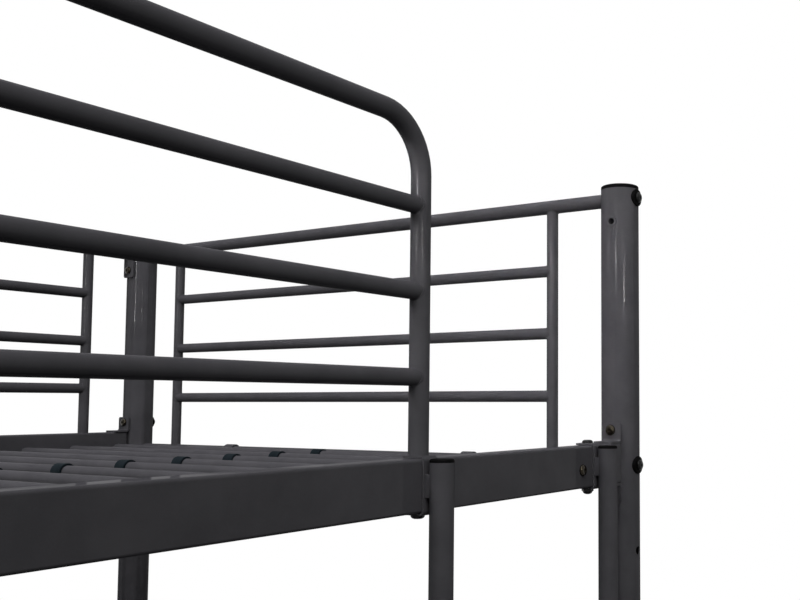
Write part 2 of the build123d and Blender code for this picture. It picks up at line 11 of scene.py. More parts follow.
import bmesh
import bpy
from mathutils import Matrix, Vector


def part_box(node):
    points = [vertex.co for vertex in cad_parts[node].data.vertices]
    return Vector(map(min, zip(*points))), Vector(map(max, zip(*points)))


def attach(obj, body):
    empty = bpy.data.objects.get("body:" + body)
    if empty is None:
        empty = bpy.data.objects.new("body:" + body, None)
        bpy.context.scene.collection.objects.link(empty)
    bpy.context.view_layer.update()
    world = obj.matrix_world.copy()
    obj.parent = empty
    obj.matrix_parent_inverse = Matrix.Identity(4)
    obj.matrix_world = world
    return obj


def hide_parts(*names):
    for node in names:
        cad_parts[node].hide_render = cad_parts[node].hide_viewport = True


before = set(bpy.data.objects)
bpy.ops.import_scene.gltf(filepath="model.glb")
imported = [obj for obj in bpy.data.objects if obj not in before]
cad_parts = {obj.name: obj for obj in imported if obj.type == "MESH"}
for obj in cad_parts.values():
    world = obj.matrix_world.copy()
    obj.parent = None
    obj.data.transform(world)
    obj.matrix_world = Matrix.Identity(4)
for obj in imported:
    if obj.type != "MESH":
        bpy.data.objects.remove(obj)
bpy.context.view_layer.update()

# %% [markdown]
# ## The camera
#
# The photograph looks up a little, from beside the ladder towards the right-hand end. Its camera was worked
# out from the edges of the posts and bars. The lens shift stands for the way the picture was cut out of a
# wider one. The camera is tipped up by less than four degrees, so the posts stay very nearly upright.


# %% Helper for objects
def new_object(name, data):
    """An object in the scene for a mesh, a lamp or a camera."""
    made = bpy.data.objects.new(name, data)
    bpy.context.scene.collection.objects.link(made)
    return made


# %% Camera
camera_turn = math.radians(30.13)
camera_rise = math.radians(3.88)
camera_data = bpy.data.cameras.new("camera")
camera_data.sensor_width = 36
camera_data.lens = 44.85
camera_data.shift_x = -0.2139
camera_data.shift_y = 0.0433
camera_data.clip_start = 0.05
camera_data.clip_end = 100
camera = new_object("camera", camera_data)
level = math.cos(camera_rise)
looking = Vector((level * math.cos(camera_turn), level * math.sin(camera_turn), math.sin(camera_rise)))
camera.location = (-0.2192, -1.1014, 1.3613)
camera.rotation_euler = looking.to_track_quat("-Z", "Y").to_euler()
bpy.context.scene.camera = camera
bpy.context.scene.view_settings.view_transform = "Standard"
print("camera looks along", [round(v, 3) for v in looking])

# %% [markdown]
# ## Node trees
#
# Materials and Geometry Nodes are both built by script, and a few small helpers keep that readable. `add`
# makes a node with its settings, and gives each input a value or the result of an earlier node. `calc`,
# `span` and `noise` are the nodes that come back most often: a sum, a change of range and a noise texture.


# %% Helpers for node trees
def set_inputs(node, inputs):
    """Gives a node's inputs their values, or joins them to the outputs of other nodes."""
    for key, value in inputs.items():
        if isinstance(value, bpy.types.NodeSocket):
            node.id_data.links.new(value, node.inputs[key])
        else:
            node.inputs[key].default_value = value


def add(tree, kind, inputs=None, **settings):
    """Adds a node, with its settings and its inputs."""
    made = tree.nodes.new(kind)
    for name, value in settings.items():
        setattr(made, name, value)
    set_inputs(made, inputs or {})
    return made


def calc(tree, operation, *terms):
    """The result of one step of arithmetic."""
    return add(tree, "ShaderNodeMath", dict(enumerate(terms)), operation=operation).outputs[0]


def span(tree, value, low, high):
    """A value between 0 and 1, stretched over a new range."""
    return add(tree, "ShaderNodeMapRange", {"Value": value, "To Min": low, "To Max": high}).outputs["Result"]


def noise(tree, place, **inputs):
    """A noise on the given coordinates."""
    return add(tree, "ShaderNodeTexNoise", {"Vector": place, **inputs}).outputs["Fac"]


def new_material(name):
    """A material with only a shader and an output, and the object's own coordinates."""
    material = bpy.data.materials.new(name)
    material.use_nodes = True
    tree = material.node_tree
    tree.nodes.clear()
    shader = add(tree, "ShaderNodeBsdfPrincipled")
    add(tree, "ShaderNodeOutputMaterial", {"Surface": shader.outputs["BSDF"]})
    return material, tree, shader, add(tree, "ShaderNodeTexCoord").outputs["Object"]


# %% [markdown]
# ## Floor, sky and lamps
#
# The bed was photographed in a white studio. The floor here is a plain pale surface that keeps the bed's
# shadow. Further out it turns into pure white for the camera, by the Light Path node, so that no edge shows
# and no extra light falls on the bed. Reflections see the same white, as they would in such a room.
#
# Three broad lamps give the soft light. Three small ones are there for what the photograph shows on the round
# posts: a thin bright line each. A round post mirrors a lamp as a line, at a place that follows from where
# the lamp stands, so each small lamp was placed by working back from its line. A lamp with a narrow spread
# gives its line and lights little else.


# %% Helpers for the white room
def looked_at(tree):
    """1 where the camera or a reflection looks, and 0 for the light that falls on the bed."""
    rays = add(tree, "ShaderNodeLightPath").outputs
    direct = calc(tree, "MAXIMUM", rays["Is Camera Ray"], rays["Is Glossy Ray"])
    return calc(tree, "MAXIMUM", direct, rays["Is Transmission Ray"])


def mixed(tree, share, plain, white):
    """One shader, or a white one by its share."""
    return add(tree, "ShaderNodeMixShader", {"Fac": share, 1: plain, 2: white}).outputs["Shader"]


# %% Floor
floor_white_from = 2.2
floor_white_to = 4.5
floor_bounce = 0.08
floor_grain = (0.80, 0.84)
floor_half = 60.0
floor_corners = [(-1, -1), (1, -1), (1, 1), (-1, 1)]
floor_mesh = bpy.data.meshes.new("floor")
floor_mesh.from_pydata([(x * floor_half, y * floor_half, 0) for x, y in floor_corners], [], [(0, 1, 2, 3)])
floor = new_object("floor", floor_mesh)
floor_paint, tree, shader, place = new_material("pale_floor")
seen = looked_at(tree)
grain = span(tree, noise(tree, place, Scale=6.0, Detail=4.0), *floor_grain)
bounce = add(tree, "ShaderNodeMix", {"Factor": seen, "A": floor_bounce, "B": grain}, data_type="FLOAT")
set_inputs(shader, {"Roughness": 0.9, "Specular IOR Level": 0.1, "Base Color": bounce.outputs["Result"]})
distance = add(tree, "ShaderNodeVectorMath", {0: place}, operation="LENGTH")
fade = add(tree, "ShaderNodeMapRange", {"Value": distance.outputs["Value"], "From Min": floor_white_from,
                                        "From Max": floor_white_to}, interpolation_type="SMOOTHSTEP")
white = add(tree, "ShaderNodeEmission", {"Color": (1, 1, 1, 1), "Strength": 1.0})
share = calc(tree, "MULTIPLY", seen, fade.outputs["Result"])
surface = mixed(tree, share, shader.outputs["BSDF"], white.outputs["Emission"])
set_inputs(tree.nodes["Material Output"], {"Surface": surface})
floor_mesh.materials.append(floor_paint)
print("floor fades to white from", floor_white_from, "m to", floor_white_to, "m")

# %% World
room_light = 0.11
world = bpy.data.worlds.new("studio")
world.use_nodes = True
bpy.context.scene.world = world
tree = world.node_tree
tree.nodes.clear()
room = add(tree, "ShaderNodeBackground", {"Color": (0.97, 0.97, 1.0, 1), "Strength": room_light})
shown = add(tree, "ShaderNodeBackground", {"Color": (1, 1, 1, 1), "Strength": 1.0})
surface = mixed(tree, looked_at(tree), room.outputs["Background"], shown.outputs["Background"])
add(tree, "ShaderNodeOutputWorld", {"Surface": surface})
print("world lights the bed at", room_light)


# %% Lamps
def lamp(name, place, aim, size, power, tint=(1.0, 1.0, 1.0), spread=180):
    """A soft box that faces a point. Its power is in watts, its spread in degrees."""
    data = bpy.data.lights.new(name, "AREA")
    data.shape = "RECTANGLE"
    data.size, data.size_y = size
    data.energy = power
    data.color = tint
    data.spread = math.radians(spread)
    made = new_object(name, data)
    made.location = place
    made.rotation_euler = (Vector(aim) - Vector(place)).to_track_quat("-Z", "Y").to_euler()
    return made


middle = (0.2, 0.0, 1.0)
near_side = (0.6, -0.1, 1.1)
right_end = (0.965, 0.0, 1.5)
near_post = (0.965, -0.49, 1.58)
lamps = [lamp("top_lamp", (0.0, 0.3, 4.2), middle, size=(3.0, 3.0), power=70, tint=(0.94, 0.92, 1.0)),
         lamp("key_lamp", (-1.8, -2.4, 4.2), near_side, size=(3.0, 2.0), power=86),
         lamp("fill_lamp", (3.6, 4.2, 2.6), middle, size=(2.4, 2.4), power=10),
         lamp("end_lamp", (-4.43, -0.12, 2.20), right_end, size=(0.20, 0.72), power=68),
         lamp("line_lamp", (-4.43, -0.12, 2.42), near_post, size=(0.20, 0.24), power=0.36, spread=12),
         lamp("flash_lamp", (-0.87, -2.864, 1.866), near_post, size=(0.12, 0.15), power=0.48, spread=30)]
print("lamps", [o.name for o in lamps])

# %% [markdown]
# ## Sizes
#
# These are the sizes of the solids, written once in metres. Every piece below is placed from them, so a piece
# and the solid that it stands for agree. The five directions serve whatever points along an axis. The
# print at the end compares the place of a post's axis with the frame.

# %% Sizes of the bed
MM = 0.001
end_x = 965 * MM
front_y = -490.075 * MM
back_y = 501.925 * MM
middle_y = (front_y + back_y) / 2
deck_heights = {"lower": 330 * MM, "upper": 1308 * MM}
upper_deck = deck_heights["upper"]
ends = {"left": -1, "right": 1}
sides = {"front": -1, "back": 1}
side_y = {"front": front_y, "back": back_y}
post_radius = 25.4 * MM
rail_height = 50.8 * MM
rail_half = 12.7 * MM
rail_outset = 3 * MM
guard_y = {"front": front_y - rail_outset, "back": back_y + rail_outset}
ladder_y = front_y - 31.5 * MM
ladder_near_x = end_x - 95.5 * MM
ladder_far_x = ladder_near_x - 332 * MM
stile_offset = 390 * MM
front_stile_x = 106 * MM - end_x
front_middle_x = (front_stile_x + ladder_far_x) / 2
up = (0, 0, 1)
down = (0, 0, -1)
along_x = (1, 0, 0)
against_x = (-1, 0, 0)
along_y = (0, 1, 0)
post_low, post_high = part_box("post_upper_front_right")
print("post axis off by", round(((post_low + post_high) / 2).x - end_x, 6), "m")

# %% [markdown]
# ## Powder coat
#
# The steel is degreased, sprayed with dry anthracite powder and baked, so the skin has no brush marks. It has
# a faint orange peel a few millimetres wide, a finer grit, and a satin sheen that varies a little from place
# to place. Three noises on Object coordinates give that: a slow one for the colour and sheen, a middle one
# for the orange peel and a fine one for the grit. The rough base has no mirror of its own. A thin smooth coat
# lies over it, as weak as the real lacquer's, and draws the lamps' lines without a white rim on every tube.
#
# All finishes end in one way, and `dress` does that: a tone runs the colour from dark to light between two
# levels, a gleam sets the roughness, and constants go on the shader's own sockets.


# %% Helpers for finishes
def bumped(tree, height, strength, distance, **below):
    """The normals of a bump, on top of another one where it is given."""
    inputs = {"Height": height, "Strength": strength, "Distance": distance, **below}
    return add(tree, "ShaderNodeBump", inputs).outputs["Normal"]


def dress(shader, tone, colours, levels, gleam, roughness, normal, constants):
    """Gives a shader its colour by the tone, its roughness by the gleam, its bump and its constants."""
    tree = shader.id_data
    ramp = add(tree, "ShaderNodeValToRGB", {"Fac": tone})
    for stop, level, colour in zip(ramp.color_ramp.elements, levels, colours):
        stop.position = level
        stop.color = (*colour, 1)
    set_inputs(shader, {"Base Color": ramp.outputs["Color"], "Roughness": span(tree, gleam, *roughness),
                        "Normal": normal, **constants})


# %% Powder coat
grit_share = 0.35


def coated_steel(name, colours, roughness, gloss):
    """A baked powder coat: slow colour noise, orange peel and grit under a thin gloss."""
    material, tree, shader, place = new_material(name)
    slow = noise(tree, place, Scale=23.0, Detail=5.0, Roughness=0.55)
    peel = noise(tree, place, Scale=330.0, Detail=2.0, Roughness=0.5)
    grit = noise(tree, place, Scale=1500.0, Detail=2.0, Roughness=0.6)
    speckled = calc(tree, "MULTIPLY_ADD", grit, grit_share, slow)
    tone = calc(tree, "SUBTRACT", speckled, grit_share / 2)
    fine = bumped(tree, grit, strength=0.30, distance=0.06 * MM)
    normal = bumped(tree, peel, strength=0.22, distance=0.25 * MM, Normal=fine)
    dress(shader, tone, colours, levels=(0.32, 0.70), gleam=slow, roughness=roughness, normal=normal,
          constants={"Specular IOR Level": 0.0, "Coat Weight": gloss, "Coat Roughness": 0.045})
    return material


powder_coat = coated_steel("powder_coat", colours=((0.064, 0.063, 0.068), (0.079, 0.077, 0.083)),
                           roughness=(0.48, 0.60), gloss=0.08)
print("made", powder_coat.name)

# %% [markdown]
# ## Plastic, blackened steel and bronzed steel
#
# The caps and feet are moulded in black plastic with a fine spark-eroded grain. The clips on the slats are a
# softer plastic, dark with a blue-green cast. Bolts and nuts on the outside are black oxide with a dull
# gleam. The screws that face the camera are dark bronze plated, and bright where light catches their heads.
# One function makes the plastics and one the metals: what differs is passed in by name.


# %% Plastic and metal finishes
def moulded_plastic(name, colours, roughness, gloss):
    """Moulded plastic with a fine grain and slightly uneven gloss."""
    material, tree, shader, place = new_material(name)
    cloud = noise(tree, place, Scale=60.0, Detail=3.0)
    grain = add(tree, "ShaderNodeTexVoronoi", {"Vector": place, "Scale": 1800.0})
    normal = bumped(tree, grain.outputs["Distance"], strength=0.4, distance=0.05 * MM)
    dress(shader, cloud, colours, levels=(0.35, 0.68), gleam=cloud, roughness=roughness, normal=normal,
          constants={"Specular IOR Level": 0.0, "Coat Weight": gloss, "Coat Roughness": 0.22})
    return material


def plated_steel(name, colours, roughness, specular, metal=0.0, tint=(1.0, 1.0, 1.0)):
    """Plated steel: its tint and gloss wander, with fine rolled scratches."""
    material, tree, shader, place = new_material(name)
    cloud = noise(tree, place, Scale=160.0, Detail=4.0)
    scratch = noise(tree, place, Scale=900.0, Detail=2.0, Distortion=1.5)
    normal = bumped(tree, scratch, strength=0.25, distance=0.04 * MM)
    dress(shader, cloud, colours, levels=(0.35, 0.65), gleam=scratch, roughness=roughness, normal=normal,
          constants={"Metallic": metal, "Specular Tint": (*tint, 1), "Specular IOR Level": specular})
    return material


black_plastic = moulded_plastic("black_plastic", colours=((0.003, 0.003, 0.003), (0.006, 0.006, 0.006)),
                                roughness=(0.38, 0.52), gloss=0.03)
clip_plastic = moulded_plastic("clip_plastic", colours=((0.008, 0.013, 0.016), (0.014, 0.020, 0.024)),
                               roughness=(0.42, 0.58), gloss=0.06)
blackened_steel = plated_steel("blackened_steel", colours=((0.001, 0.001, 0.001), (0.004, 0.004, 0.004)),
                               roughness=(0.10, 0.18), specular=0.12)
bronzed_steel = plated_steel("bronzed_steel", colours=((0.002, 0.0015, 0.001), (0.006, 0.0045, 0.003)),
                             roughness=(0.08, 0.14), specular=0.28, tint=(1.0, 0.86, 0.62))
zinc_steel = plated_steel("zinc_steel", colours=((0.42, 0.43, 0.45), (0.58, 0.59, 0.61)),
                          roughness=(0.30, 0.48), specular=0.5, metal=1.0)
print("made", [m.name for m in (black_plastic, clip_plastic, blackened_steel, bronzed_steel, zinc_steel)])

# %% [markdown]
# ## From a node tree to a plain piece
#
# A Geometry Nodes tree works on a small seed mesh. The result is turned into a plain mesh, smoothed by angle,
# and rides on the bed's one body. `grow` does that for every tree: it sets the tree's inputs by their
# identifiers, evaluates once, keeps the mesh and throws the seed away. The smoothing angle stays under the
# 30 degree steps of the small bevels, so that long faces keep their true shading right up to the edge.

# %% Helpers for pieces
smooth_angle = math.radians(25)


def set_finish(mesh, finish):
    """Leaves a mesh with one finish only."""
    mesh.materials.clear()
    mesh.materials.append(finish)


def shaded(mesh):
    """The mesh with smooth shading, except at edges sharper than the smoothing angle."""
    mesh.shade_smooth()
    mesh.set_sharp_from_angle(angle=smooth_angle)
    return mesh


def finish_piece(name, mesh, stands_for):
    """Makes a mesh a piece on the bed's body, and hides the nodes that it stands for."""
    piece = new_object(name, mesh)
    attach(piece, "root")
    if stands_for:
        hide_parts(*stands_for)
    print(name, "has", len(mesh.polygons), "faces")


def modified(mesh, kind, inputs=None, **settings):
    """The mesh as one modifier leaves it. The inputs of a node tree go by identifier."""
    carrier = new_object("carrier", mesh)
    modifier = carrier.modifiers.new(kind, kind)
    for key, value in settings.items():
        setattr(modifier, key, value)
    for identifier, value in (inputs or {}).items():
        modifier[identifier] = value
    depsgraph = bpy.context.evaluated_depsgraph_get()
    result = bpy.data.meshes.new_from_object(carrier.evaluated_get(depsgraph), depsgraph=depsgraph)
    carrier.modifiers.remove(modifier)
    bpy.data.objects.remove(carrier)
    return result


def grow(tree, seed=None, finish=powder_coat, **values):
    """Runs a tree on a seed mesh, or on an empty one, and gives the result as a plain mesh."""
    values["Finish"] = finish
    inputs = {item.identifier: values[item.name] for item in tree.interface.items_tree
              if item.in_out == "INPUT" and item.name in values}
    return shaded(modified(seed or bpy.data.meshes.new("empty"), "NODES", inputs, node_group=tree))


# %% [markdown]
# Every tree takes a geometry and a finish, and ends in the same two nodes: Realize Instances and Set
# Material. `new_tree` opens a tree and `close_tree` ends it. Shapes are set out on loose points, each with a
# facing axis and a cross axis, which `point_turn` reads.


# %% Helpers for Geometry Nodes
def new_tree(name, **kinds):
    """A Geometry Nodes tree with named inputs, and those inputs' sockets."""
    tree = bpy.data.node_groups.new(name, "GeometryNodeTree")
    for label, kind in {"Geometry": "Geometry", **kinds, "Finish": "Material"}.items():
        tree.interface.new_socket(name=label, in_out="INPUT", socket_type="NodeSocket" + kind)
    tree.interface.new_socket(name="Geometry", in_out="OUTPUT", socket_type="NodeSocketGeometry")
    return tree, add(tree, "NodeGroupInput").outputs


def close_tree(tree, geometry, finish):
    """Ends a tree: instances become real, and the finish is set."""
    real = add(tree, "GeometryNodeRealizeInstances", {"Geometry": geometry})
    paint = add(tree, "GeometryNodeSetMaterial", {"Geometry": real.outputs["Geometry"], "Material": finish})
    add(tree, "NodeGroupOutput", {"Geometry": paint.outputs["Geometry"]})
    print("tree", tree.name, "with", len(tree.nodes), "nodes")


def circle(tree, count, radius):
    """A round curve of so many points."""
    inputs = {"Resolution": count, "Radius": radius}
    return add(tree, "GeometryNodeCurvePrimitiveCircle", inputs, mode="RADIUS").outputs["Curve"]


def instances(tree, points, shape, turn):
    """A turned instance of a shape on every point."""
    inputs = {"Points": points, "Instance": shape, "Rotation": turn}
    return add(tree, "GeometryNodeInstanceOnPoints", inputs).outputs["Instances"]


def point_value(tree, name, kind="FLOAT_VECTOR"):
    """What the points carry under a name."""
    return add(tree, "GeometryNodeInputNamedAttribute", {"Name": name}, data_type=kind).outputs["Attribute"]


def point_turn(tree):
    """The turn that lays Z on a point's facing axis and X on its cross axis."""
    axes = {"Primary Axis": point_value(tree, "out"), "Secondary Axis": point_value(tree, "along")}
    turn = add(tree, "FunctionNodeAxesToRotation", axes, primary_axis="Z", secondary_axis="X")
    return turn.outputs["Rotation"]


def seed_points(rows):
    """A mesh of loose points from rows that begin with a place, the axis it faces and a cross axis."""
    mesh = bpy.data.meshes.new("points")
    mesh.from_pydata([row[0] for row in rows], [], [])
    for column, name in ((1, "out"), (2, "along")):
        attribute = mesh.attributes.new(name, "FLOAT_VECTOR", "POINT")
        attribute.data.foreach_set("vector", [number for row in rows for number in row[column]])
    return mesh


# %% [markdown]
# ## Slats
#
# Each deck lies on a row of thin round tubes, cut to one length and pushed into holes in the side rails. They
# could be copied by an Array modifier. A Mesh Line with a tube instanced on each point is just as short, and
# its count, pitch and diameter stay open as inputs, so the same tree makes both decks and the ladder's rungs.

# %% Tree: a row of equal tubes
row_sides = 36
row_tree, given = new_tree("row_of_tubes", Count="Int", First="Vector", Pitch="Vector", Length="Float",
                           Radius="Float", Turn="Rotation")
line = add(row_tree, "GeometryNodeMeshLine", {"Count": given["Count"], "Start Location": given["First"],
                                              "Offset": given["Pitch"]}, mode="OFFSET", count_mode="TOTAL")
one_tube = add(row_tree, "GeometryNodeMeshCylinder", {"Vertices": row_sides, "Depth": given["Length"],
                                                      "Radius": given["Radius"]})
tubes = instances(row_tree, line.outputs["Mesh"], one_tube.outputs["Mesh"], given["Turn"])
close_tree(row_tree, tubes, given["Finish"])

# %% Slats of both decks
slat_count = 23
slat_pitch = 83.4 * MM
slat_radius = 8 * MM
slat_drop = -28.5 * MM
slat_hold = 8 * MM
slat_length = back_y - front_y - 2 * (rail_half - rail_outset - slat_hold)
slat_places = [(i - (slat_count - 1) / 2) * slat_pitch for i in range(slat_count)]
turn_to_y = (math.pi / 2, 0, 0)
turn_to_x = (0, math.pi / 2, 0)
for deck, height in deck_heights.items():
    first = (slat_places[0], middle_y, height + slat_drop)
    slats = grow(row_tree, Count=slat_count, First=first, Pitch=(slat_pitch, 0, 0), Length=slat_length,
                 Radius=slat_radius, Turn=turn_to_y)
    finish_piece(f"deck_slats_{deck}", slats, [f"slats_{deck}"])

# %% [markdown]
# ## Frames of welded tube
#
# A barred end panel is a ladder lying on its side: a top tube, a bottom tube, two uprights and three thin
# bars. The guards are the same idea. Each is drawn here as bare lines, and one tree gives every line its
# tube: Mesh to Curve, a Fillet for the bends, and Curve to Mesh with a circle. The tube's half width travels
# on the points as an attribute, so thick and thin tubes come from one seed.

# %% Tree: tubes along lines
bend_steps = 12
tube_sides = 40
frame_tree, given = new_tree("tubes_along_lines", Sides="Int", Bend="Float")
to_curve = add(frame_tree, "GeometryNodeMeshToCurve", {"Mesh": given["Geometry"]})
bend = add(frame_tree, "GeometryNodeFilletCurve", {"Curve": to_curve.outputs["Curve"], "Count": bend_steps,
                                                   "Radius": given["Bend"]}, mode="POLY")
section = circle(frame_tree, given["Sides"], 1.0)
width = point_value(frame_tree, "half_width", "FLOAT")
swept = add(frame_tree, "GeometryNodeCurveToMesh", {"Curve": bend.outputs["Curve"], "Profile Curve": section,
                                                    "Scale": width, "Fill Caps": True})
close_tree(frame_tree, swept.outputs["Mesh"], given["Finish"])


def seed_lines(lines):
    """A mesh of bare lines: each is (points, half width)."""
    vertices = []
    edges = []
    widths = []
    for points, half_width in lines:
        first = len(vertices)
        vertices += points
        edges += [(first + i, first + i + 1) for i in range(len(points) - 1)]
        widths += [half_width] * len(points)
    mesh = bpy.data.meshes.new("lines")
    mesh.from_pydata(vertices, edges, [])
    mesh.attributes.new("half_width", "FLOAT", "POINT").data.foreach_set("value", widths)
    return mesh


def tube_piece(name, lines, stands_for, bend_radius=0.0):
    """One piece of tubes that run along lines."""
    finish_piece(name, grow(frame_tree, seed_lines(lines), Sides=tube_sides, Bend=bend_radius), stands_for)


# %% End panels
panel_top = 326.3 * MM
panel_bottom = -28.9 * MM
panel_bar_low = 61.6 * MM
panel_bar_pitch = 87.25 * MM
panel_bars = [panel_bar_low + panel_bar_pitch * i for i in range(3)]
panel_top_half = 9.5 * MM
panel_half = 8.0 * MM
welds = []
for deck, height in deck_heights.items():
    low = height + panel_bottom
    high = height + panel_top
    for end, sign in ends.items():
        x = sign * end_x
        lines = []
        for z, half in ((high, panel_top_half), (low, panel_half)):
            reach = (back_y - front_y) / 2 - math.sqrt(post_radius ** 2 - half ** 2)
            lines.append((((x, middle_y - reach, z), (x, middle_y + reach, z)), half))
        for side_sign in sides.values():
            y = middle_y + side_sign * stile_offset
            inwards = (0, -side_sign, 0)
            lines.append((((x, y, low), (x, y, high)), panel_half))
            welds.append(((x, y, low), up, along_y, panel_half, panel_half))
            welds.append(((x, y, high), down, along_y, panel_half, panel_top_half))
            welds += [((x, y, height + rise), inwards, up, panel_half, panel_half) for rise in panel_bars]
        for rise in panel_bars:
            z = height + rise
            lines.append((((x, middle_y - stile_offset, z), (x, middle_y + stile_offset, z)), panel_half))
        tube_piece(f"panel_{deck}_{end}", lines, [f"end_panel_{deck}_{end}"])
print("weld rings so far", len(welds))

# %% [markdown]
# ## Guards
#
# The guard beside the ladder is one thick tube that runs along the top and bends down to the rail, with two
# thin uprights and three thin rails behind it. The bend is a quarter circle, which the Fillet node draws. The
# back guard has no bend: its top tube ends in a plate bolted to each post. The plates are cut from flat
# steel with rounded corners, and are made further on with the other plates.

# %% Guards
guard_top = upper_deck + 328 * MM
guard_rails = [upper_deck + rise * MM for rise in (243.8, 160.1, 77.3)]
guard_bend = 55 * MM
guard_half = 10 * MM
thin_half = 8.5 * MM
tab_thickness = 3 * MM
strap_stack = 2.7 * MM
loop_foot = upper_deck + strap_stack
insert_flange = 0.5 * MM
guard_end_x = end_x - post_radius - insert_flange - tab_thickness
front_plane = guard_y["front"]
back_plane = guard_y["back"]
loop_line = ((-guard_end_x, front_plane, guard_top), (ladder_far_x, front_plane, guard_top),
             (ladder_far_x, front_plane, loop_foot))
back_top_line = ((-guard_end_x, back_plane, guard_top), (guard_end_x, back_plane, guard_top))
guard_lines = {"front": [], "back": [(back_top_line, guard_half)]}
uprights = {"front": (front_stile_x, front_middle_x), "back": (front_stile_x, 0.0, -front_stile_x)}
rail_ends = {side: [(x, thin_half) for x in places] for side, places in uprights.items()}
rail_ends["front"].append((ladder_far_x, guard_half))
for side, y in guard_y.items():
    for x in uprights[side]:
        guard_lines[side].append((((x, y, upper_deck), (x, y, guard_top)), thin_half))
        welds.append(((x, y, guard_top), down, along_x, thin_half, guard_half))
    for z in guard_rails:
        for (x_from, half_from), (x_to, half_to) in zip(rail_ends[side], rail_ends[side][1:]):
            guard_lines[side].append((((x_from, y, z), (x_to, y, z)), thin_half))
            welds.append(((x_from, y, z), along_x, up, thin_half, half_from))
            welds.append(((x_to, y, z), against_x, up, thin_half, half_to))
tube_piece("guard_rails_front", guard_lines["front"], ["guard_front_bars"])
tube_piece("guard_loop", [(loop_line, guard_half)], ["guard_front_loop"], bend_radius=guard_bend)
tube_piece("guard_tubes_back", guard_lines["back"], ["guard_back"])

# %% Ladder rungs
rung_low = 258 * MM
rung_pitch = 260 * MM
rung_heights = [rung_low + rung_pitch * i for i in range(4)]
rung_half = 11 * MM
ladder_half = 11.75 * MM
first = ((ladder_far_x + ladder_near_x) / 2, ladder_y, rung_low)
rungs = grow(row_tree, Count=len(rung_heights), First=first, Pitch=(0, 0, rung_pitch),
             Length=ladder_near_x - ladder_far_x, Radius=rung_half, Turn=turn_to_x)
finish_piece("rungs", rungs, [f"ladder_rung_{i}" for i in range(1, 5)])
for z in rung_heights:
    welds.append(((ladder_far_x, ladder_y, z), along_x, up, rung_half, ladder_half))
    welds.append(((ladder_near_x, ladder_y, z), against_x, up, rung_half, ladder_half))
print("weld rings", len(welds))

# %% [markdown]
# ## Weld beads
#
# Where one tube meets another, the welder leaves a small bead all round, in ripples, and the powder coat
# covers it. The seam isn't flat: it follows the skin of the tube that it runs into. On a circle of the thin
# tube's radius, each point is pushed along the tube by the height of the other tube's skin there. A noise
# with a fixed seed makes the ripples. The thin tubes meet several sizes, so the bead is grown once for each
# pair of sizes.

# %% Tree: weld beads
ring_points = 30
bead_sides = 6
ripple_range = (0.65, 1.25)
weld_tree, given = new_tree("weld_beads", Bar="Float", Skin="Float", Bead="Float", Seed="Float")
where = add(weld_tree, "GeometryNodeInputPosition")
apart = add(weld_tree, "ShaderNodeSeparateXYZ", {"Vector": where.outputs["Position"]})
across = calc(weld_tree, "MULTIPLY", apart.outputs["Y"], apart.outputs["Y"])
skin = calc(weld_tree, "MULTIPLY", given["Skin"], given["Skin"])
skin_height = calc(weld_tree, "SQRT", calc(weld_tree, "SUBTRACT", skin, across))
lift = add(weld_tree, "ShaderNodeCombineXYZ", {"Z": skin_height})
ring = circle(weld_tree, ring_points, given["Bar"])
seam = add(weld_tree, "GeometryNodeSetPosition", {"Geometry": ring, "Offset": lift.outputs["Vector"]})
ripple = add(weld_tree, "ShaderNodeTexNoise", {"W": given["Seed"], "Scale": 420.0, "Detail": 1.0},
             noise_dimensions="4D")
bead_size = calc(weld_tree, "MULTIPLY", span(weld_tree, ripple.outputs["Fac"], *ripple_range), given["Bead"])
section = circle(weld_tree, bead_sides, 1.0)
bead = add(weld_tree, "GeometryNodeCurveToMesh", {"Curve": seam.outputs["Geometry"], "Profile Curve": section,
                                                  "Scale": bead_size})
beads = instances(weld_tree, given["Geometry"], bead.outputs["Mesh"], point_turn(weld_tree))
close_tree(weld_tree, beads, given["Finish"])

# %% [markdown]
# Two tubes of one size meet in a seam whose lowest points lie just where the skin ends. There a last digit
# could ask for the root of a negative number, so such a ring is made a thousandth smaller.

# %% Weld beads
bead_radius = 1.0 * MM
slimmer = 0.999
for number, (bar, skin_half) in enumerate(sorted({weld[3:] for weld in welds})):
    same = [weld for weld in welds if weld[3:] == (bar, skin_half)]
    ring_radius = bar if bar < skin_half else bar * slimmer
    beads = grow(weld_tree, seed_points(same), Bar=ring_radius, Skin=skin_half, Bead=bead_radius,
                 Seed=float(number))
    finish_piece(f"weld_beads_{number + 1}", beads, [])

# %% [markdown]
# ## Smooth copies of the bent and drilled steel
#
# Posts, side rails, straps and support bars have holes, ears and hooks that are already exact in the solids.
# Their meshes are loose flat triangles, which would show as facets in a soft light. A merged copy is made
# instead: doubles are joined, flat areas become one face again, sharp edges get a narrow bevel that catches
# the light as rolled steel does, and the rest is shaded smooth. Last, on pieces with flat sides, each
# corner's normal is weighed by the size of the faces round it, so that a flat side stays flat up to its edge.


# %% Helpers: smooth copy of solids
def to_mesh(work, name):
    """A plain mesh from a finished workpiece."""
    mesh = bpy.data.meshes.new(name)
    work.to_mesh(mesh)
    work.free()
    return mesh


def drop_islands(work, keep):
    """Deletes every separate shell of a mesh whose middle fails the test."""
    waiting = set(work.verts)
    dropped = []
    while waiting:
        shell = {waiting.pop()}
        edge_of = list(shell)
        while edge_of:
            vertex = edge_of.pop()
            near = {edge.other_vert(vertex) for edge in vertex.link_edges} & waiting
            waiting -= near
            shell |= near
            edge_of += near
        if not keep(sum((v.co for v in shell), Vector()) / len(shell)):
            dropped += shell
    bmesh.ops.delete(work, geom=dropped, context="VERTS")


same_place = 1e-6
flat_angle = math.radians(0.5)
sharp_angle = math.radians(50)
steel_edge = 0.35 * MM


